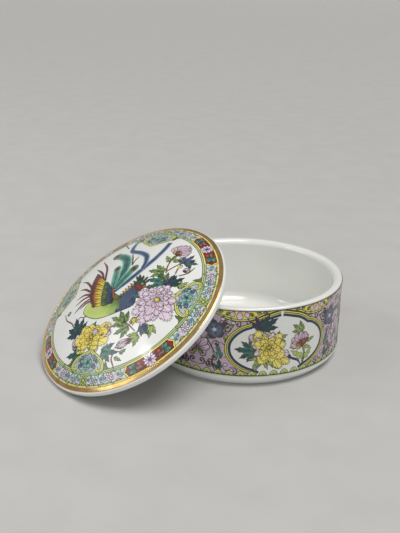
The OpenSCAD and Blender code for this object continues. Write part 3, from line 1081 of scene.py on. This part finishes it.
def medallion_frame(brush):
    """The white panel, its apex open under the lip and its foot open on the leaf border."""
    half = spline([(0.9, 40.5), (3, 40.1), (6, 39.3), (10.5, 37.9), (13.8, 36), (15.9, 34.3)], step=1.2)
    half += spline([
        (15.9, 34.3), (18.2, 33.6), (21.2, 31.8), (24.4, 28.8), (26.6, 25.2), (27.3, 21.3), (26.5, 17.2),
        (24, 13.4), (20.4, 10.6), (16.6, 8.7), (13.4, 7.6), (11.6, 6.6),
    ], step=1.2)[1:]
    floor = [(x, 6.6) for x in (9, 6, 3, 0, -3, -6, -9)]
    brush.fill("white", half + floor + [(-x, y) for x, y in half[::-1]], 0.55, 1)
    for rim in brush.halves():
        for shift, width, colour, tint, up in (
            (-1.15, 2.8, "ink", 0.95, 1.6), (-0.34, 0.52, "gold", 0.6, 2.4),
            (-1.2, 0.46, "green", 0.25, 2.4), (-2.15, 1.2, "blue", 1.05, 2.4),
        ):
            rim.line(colour, half, width, tint, up, shift=shift)


def medallion_peony(brush):
    """The yellow peony on the panel's left, with its leaves."""
    for path, width in (
        ([(-6, 15), (-10, 12.6), (-12.4, 9.4)], 0.9), ([(-10.9, 31.6), (-11.9, 27.6)], 0.8),
        ([(-9.4, 31.4), (-10.2, 28.2)], 0.7),
    ):
        stem(brush, path, width, "green", 0.8, 2)
    palm_leaf(brush.at(-10.8, 31.5, 16, up=4), 7, "blue", 0.95, 1.1, (30, -26))
    palm_leaf(brush.at(-10.6, 31.6, -58, up=5), 10.2, "teal", 0.95, 1.1, (28, -28))
    palm_leaf(brush.at(-12.8, 20, 84, up=3), 10, "teal", 0.75, 1, (34, -32, 64, -60))
    palm_leaf(brush.at(-3, 25.2, -70, up=3), 7, "green", 0.3, 0.75, (46, -30))
    scatter(leaf, brush, (
        (-10, 16.6, 100, 7.2, 2.6, 0.15, 0.6), (-10.4, 17, 72, 5, 2.4, 0.1, 0.4),
        (-10.6, 15.6, 152, 6.6, 2.8, 0.3, 0.75), (-8.4, 15.4, -156, 6.2, 2.8, 0.15, 0.6),
        (-7.6, 16, -132, 10, 3.6, 0.05, 0.5), (-5.4, 15.6, -146, 7.4, 3, 0, 0.4),
    ), up=3)
    for x, y, turn, length, colour in (
        (-4.4, 17.6, -146, 9.8, "gold"), (-2.6, 18, -128, 10.4, "gold"), (-1.4, 18.6, -108, 7, "rose"),
        (-9.6, 23.6, 52, 8.2, "rose"), (-10, 24, 28, 6.6, "gold"),
    ):
        petal(brush.at(x, y, turn, up=4), colour, length, 4.4, 0.45, 0.3)
    peony(brush.at(-6, 21.8, up=5), 9.6, "gold", ("gold", 0.7), SMALL_PEONY, 6,
          lambda angle: 0.9 + 0.16 * cos(radians(angle + 52)) ** 2, 0.62, 0.25)
    for angle in (-14, 20, 52, 84, 118):
        petal(brush.at(-6, 21.8, angle, up=6.6), "rose", 8.6, 3.2, 0.1, 0)
    brush.fill("ink", oval(2.6, 2.6, -12.4, 20.6, 9), 0.8, 5.5)


def medallion_lilac(brush):
    """The lilac flower on the panel's right, with its leaves and the blue sprig under it."""
    stem(brush, [(12.6, 20), (13.9, 16), (13.8, 12.2)], 0.8, "green", 0.8, 2)
    palm_leaf(brush.at(12.2, 28, 54, up=3), 7.4, "green", 0.3, 0.85, (-34, 30))
    scatter(leaf, brush, (
        (12.4, 19.6, 86, 7.8, 3.2, 0.1, 0.5), (13.4, 13, 54, 9.6, 3.8, 0.05, 0.5),
        (14, 12.6, -44, 6.4, 3.6, 0.1, 0.45), (15, 21.6, -74, 5.4, 2.2, 0.3, 0.8),
        (13.8, 19.4, -116, 5, 2.4, 0.1, 0.5), (13.6, 13, 168, 3, 1.6, 0.5, 0.9),
    ), up=3)
    for i, (angle, length) in enumerate(((88, 7), (-40, 5.6), (62, 7.4), (-16, 6.4), (36, 7.2), (10, 7))):
        petal(brush.at(12.2, 21.2, angle, up=4), "rose", length, 4, 1, 0.3, up=i % 2 + i // 3)
    for i, (angle, length) in enumerate(((-34, 5.4), (58, 4.4), (24, 4.6), (-6, 4.4))):
        colour, tip = (("red", 0.45), ("gold", 1.05))[i % 2]
        petal(brush.at(12.4, 19.4, angle, up=8), colour, length, 2.4, 0.9, tip)
    brush.line("blue", spline([(4.4, 15.4), (7.6, 13.8), (10.2, 12.4), (12, 9.8)]), 1.3, 1, 3, (1, 0.4))
    brush.fill("blue", oval(3.2, 2.4, 4.6, 15.6, 10), 1.1, 3)


def collar_lappet(brush):
    """A yellow scallop that hangs from the lip, with half a lotus."""
    half = [(0, 35.6), (4, 36), (7.4, 37), (10, 38.4), (13.4, 39.6), (17.4, 40.4), (20.4, 41)]
    half = spline(half, step=1.2)
    brush.fill("gold", mirrored(half + [(x, 41) for x in (18, 15, 12, 9, 6, 3, 0)]), 0.5, 1)
    for rim in brush.halves():
        for shift, width, colour, tint in (
            (0, 0.5, "ink", 0.95), (0.42, 0.35, "gold", 0.15), (0.8, 0.32, "ink", 0.85),
            (1.3, 0.4, "green", 0.3),
        ):
            rim.line(colour, [(x, y) for x, y in half if y < 40.8 - shift], width, tint, 2, shift=shift)
        for x, y, turn, radius, flip in (
            (5.6, 38.3, -12, 0.9, False), (9.6, 39.9, -4, 0.55, True), (12.6, 39.9, 0, 0.35, False),
            (7.6, 38.4, 176, 0.6, True), (4.2, 37.4, 170, 0.55, False), (15.6, 40.4, 180, 0.2, False),
        ):
            curl(rim.at(x, y, turn, 2, flip), radius, "green", 1, 0.34)
        for x, y, turn, length in ((4.6, 40.3, -130, 2.6), (7.8, 40.4, -108, 2.8), (11, 40.4, -100, 2.4)):
            blade(rim.at(x, y, turn, up=2), "green", length, 1.2, 0.9, 0.3)
        blade(rim.at(2.7, 40.8, -156, up=3), "rose", 3.3, 2.3, 0.9, 0.1, 0, 0.3)
    blade(brush.at(0, 40.9, 180, up=3), "rose", 4.5, 2.9, 0.9, 0.1, 1, 0.3)


def ground_flowers(brush):
    """The dense scrollwork between two medallions, the same on both sides of its middle."""
    for half in brush.halves():
        for i in range(5):
            for j in range(5):
                x, y = 2.4 + 5.4 * i + 2.2 * (j % 2), 10.6 + 6.2 * j
                outside_medallion = hypot((WALL_LENGTH / 8 - x) / 26, (y - 21) / 13) > 1
                if outside_medallion:
                    tendril = half.at(x, y, 60 * i + 100 * j, 1, (i + j) % 2 == 1)
                    curl(tendril, 2, "ink", 0.72, 0.6, 1, 2.2)
        for x, y, turn, radius in (
            (15.6, 30.2, 20, 2.3), (4.8, 11.4, -50, 2.2), (3.4, 31.6, 100, 1.8), (13.6, 35.4, 200, 1.4),
        ):
            curl(half.at(x, y, turn, up=2), radius, "ink", 0.85, 0.66, 1.1, 3)
        vine = [(9.4, 8.2), (7.6, 12.6), (9, 17), (7, 21.6), (5.2, 25), (7.4, 28.4)]
        half.line("ink", spline(vine), 0.7, 0.9, 1.5, (0.6, 0.6))
        for i, angle in enumerate((14, -126, 86, 162, -58)):
            petal(half.at(8.6, 30.2, angle, up=3), "blue", 5.4, 4.2, 0.4, 1.15, 0.07, 2, 0.4, i % 2)
        half.shape("blue", oval(2.6, 2.4, 8.6, 30.2, 10), 0.1, 6, 0.3)
        scatter(leaf, half, (
            (12.2, 15, 16, 9.2, 3.2, 0.5, 1), (12.6, 15.6, 62, 5.6, 2.8, 0.05, 0.5),
            (11.6, 9.6, 4, 5.2, 3.2, 0.8, 1), (11.2, 9.8, 60, 4.4, 2.4, 0.7, 1),
            (4.8, 24.2, -20, 4.4, 2.4, 0.3, 0.9),
        ), up=3, colour="teal")
        for x, y, turn in (
            (13.2, 25.6, -40), (18, 33.4, 120), (14.6, 8.8, -100), (0.3, 18.8, -104), (0.3, 18.6, -144),
        ):
            blade(half.at(x, y, turn, up=3), "green", 3, 1.6, 0.9, 0.4)
        for x, y in ((12.6, 36.2), (14.4, 12), (17.4, 9.2), (17.6, 34.6)):
            half.shape("rose", oval(2.2, 1.8, x, y, 9), 0.45, 3, 0.34)
    for i, angle in enumerate((80, -80, 44, -44, 0)):
        petal(brush.at(0, 19.4, angle, up=4), "rose", 6.4 + 0.4 * i, 3.8, 1, 0.1, 0.06, 2, 0.34, i // 2)


def wall_edges(brush):
    """The lines and the row of small leaves round the wall's foot and lip."""
    for y, width, colour, tint in (
        (6.4, 0.3, "green", 0.5), (6.75, 0.36, "ink", 0.95), (41, 0.34, "ink", 0.95),
    ):
        brush.line(colour, straight((0, y), (WALL_LENGTH, y), 240), width, tint, 19)
    outline = mirrored(spline([(0, 2.4), (0.9, 2), (1.7, 1.2), (2.2, 0.2)], step=0.7) + [(0, 0.1)])
    count = 60
    for i in range(count):
        sprig = brush.at(WALL_LENGTH * (i + 0.5) / count, 6.8, up=17)
        sprig.shape("green", outline, lambda x, y: 0.4 - 0.2 * y, 0, 0.24, 0.8)
        for angle in (-36, 0, 36):
            sprig.at(0, 0.1, angle).line("ink", [(0, 0.2), (0, 1.7)], 0.2, 0.85, 0.8, (1, 0.3))


def paint_wall(brush):
    for k in range(4):
        panel = brush.at(WALL_LENGTH * k / 4, 0, up=3)
        ground_flowers(panel.at(WALL_LENGTH / 8, 0))
        for x in (-WALL_LENGTH / 16, WALL_LENGTH / 16):
            collar_lappet(panel.at(x, 0, up=6))
        medallion_frame(panel.above(8))
        medallion_peony(panel.above(8))
        medallion_lilac(panel.above(8))
    wall_edges(brush)


def paint_all():
    dome = Canvas("lid_paint", "lid", "border_enamel", on_dome, 2.6)
    for paint in (paint_border, paint_phoenix, paint_main_peony, paint_yellow_peony, paint_upper_flowers):
        paint(Brush(dome))
    dome.finish()
    wall = Canvas("bowl_paint", "bowl", "wall_enamel", on_wall, 1.7)
    paint_wall(Brush(wall))
    wall.finish()


make_camera()
light_studio()
make_floor()
make_porcelain()
make_coats()
ENAMELS = {colour: enamel_material(colour) for colour in PALETTE if "ground" not in colour}
paint_all()
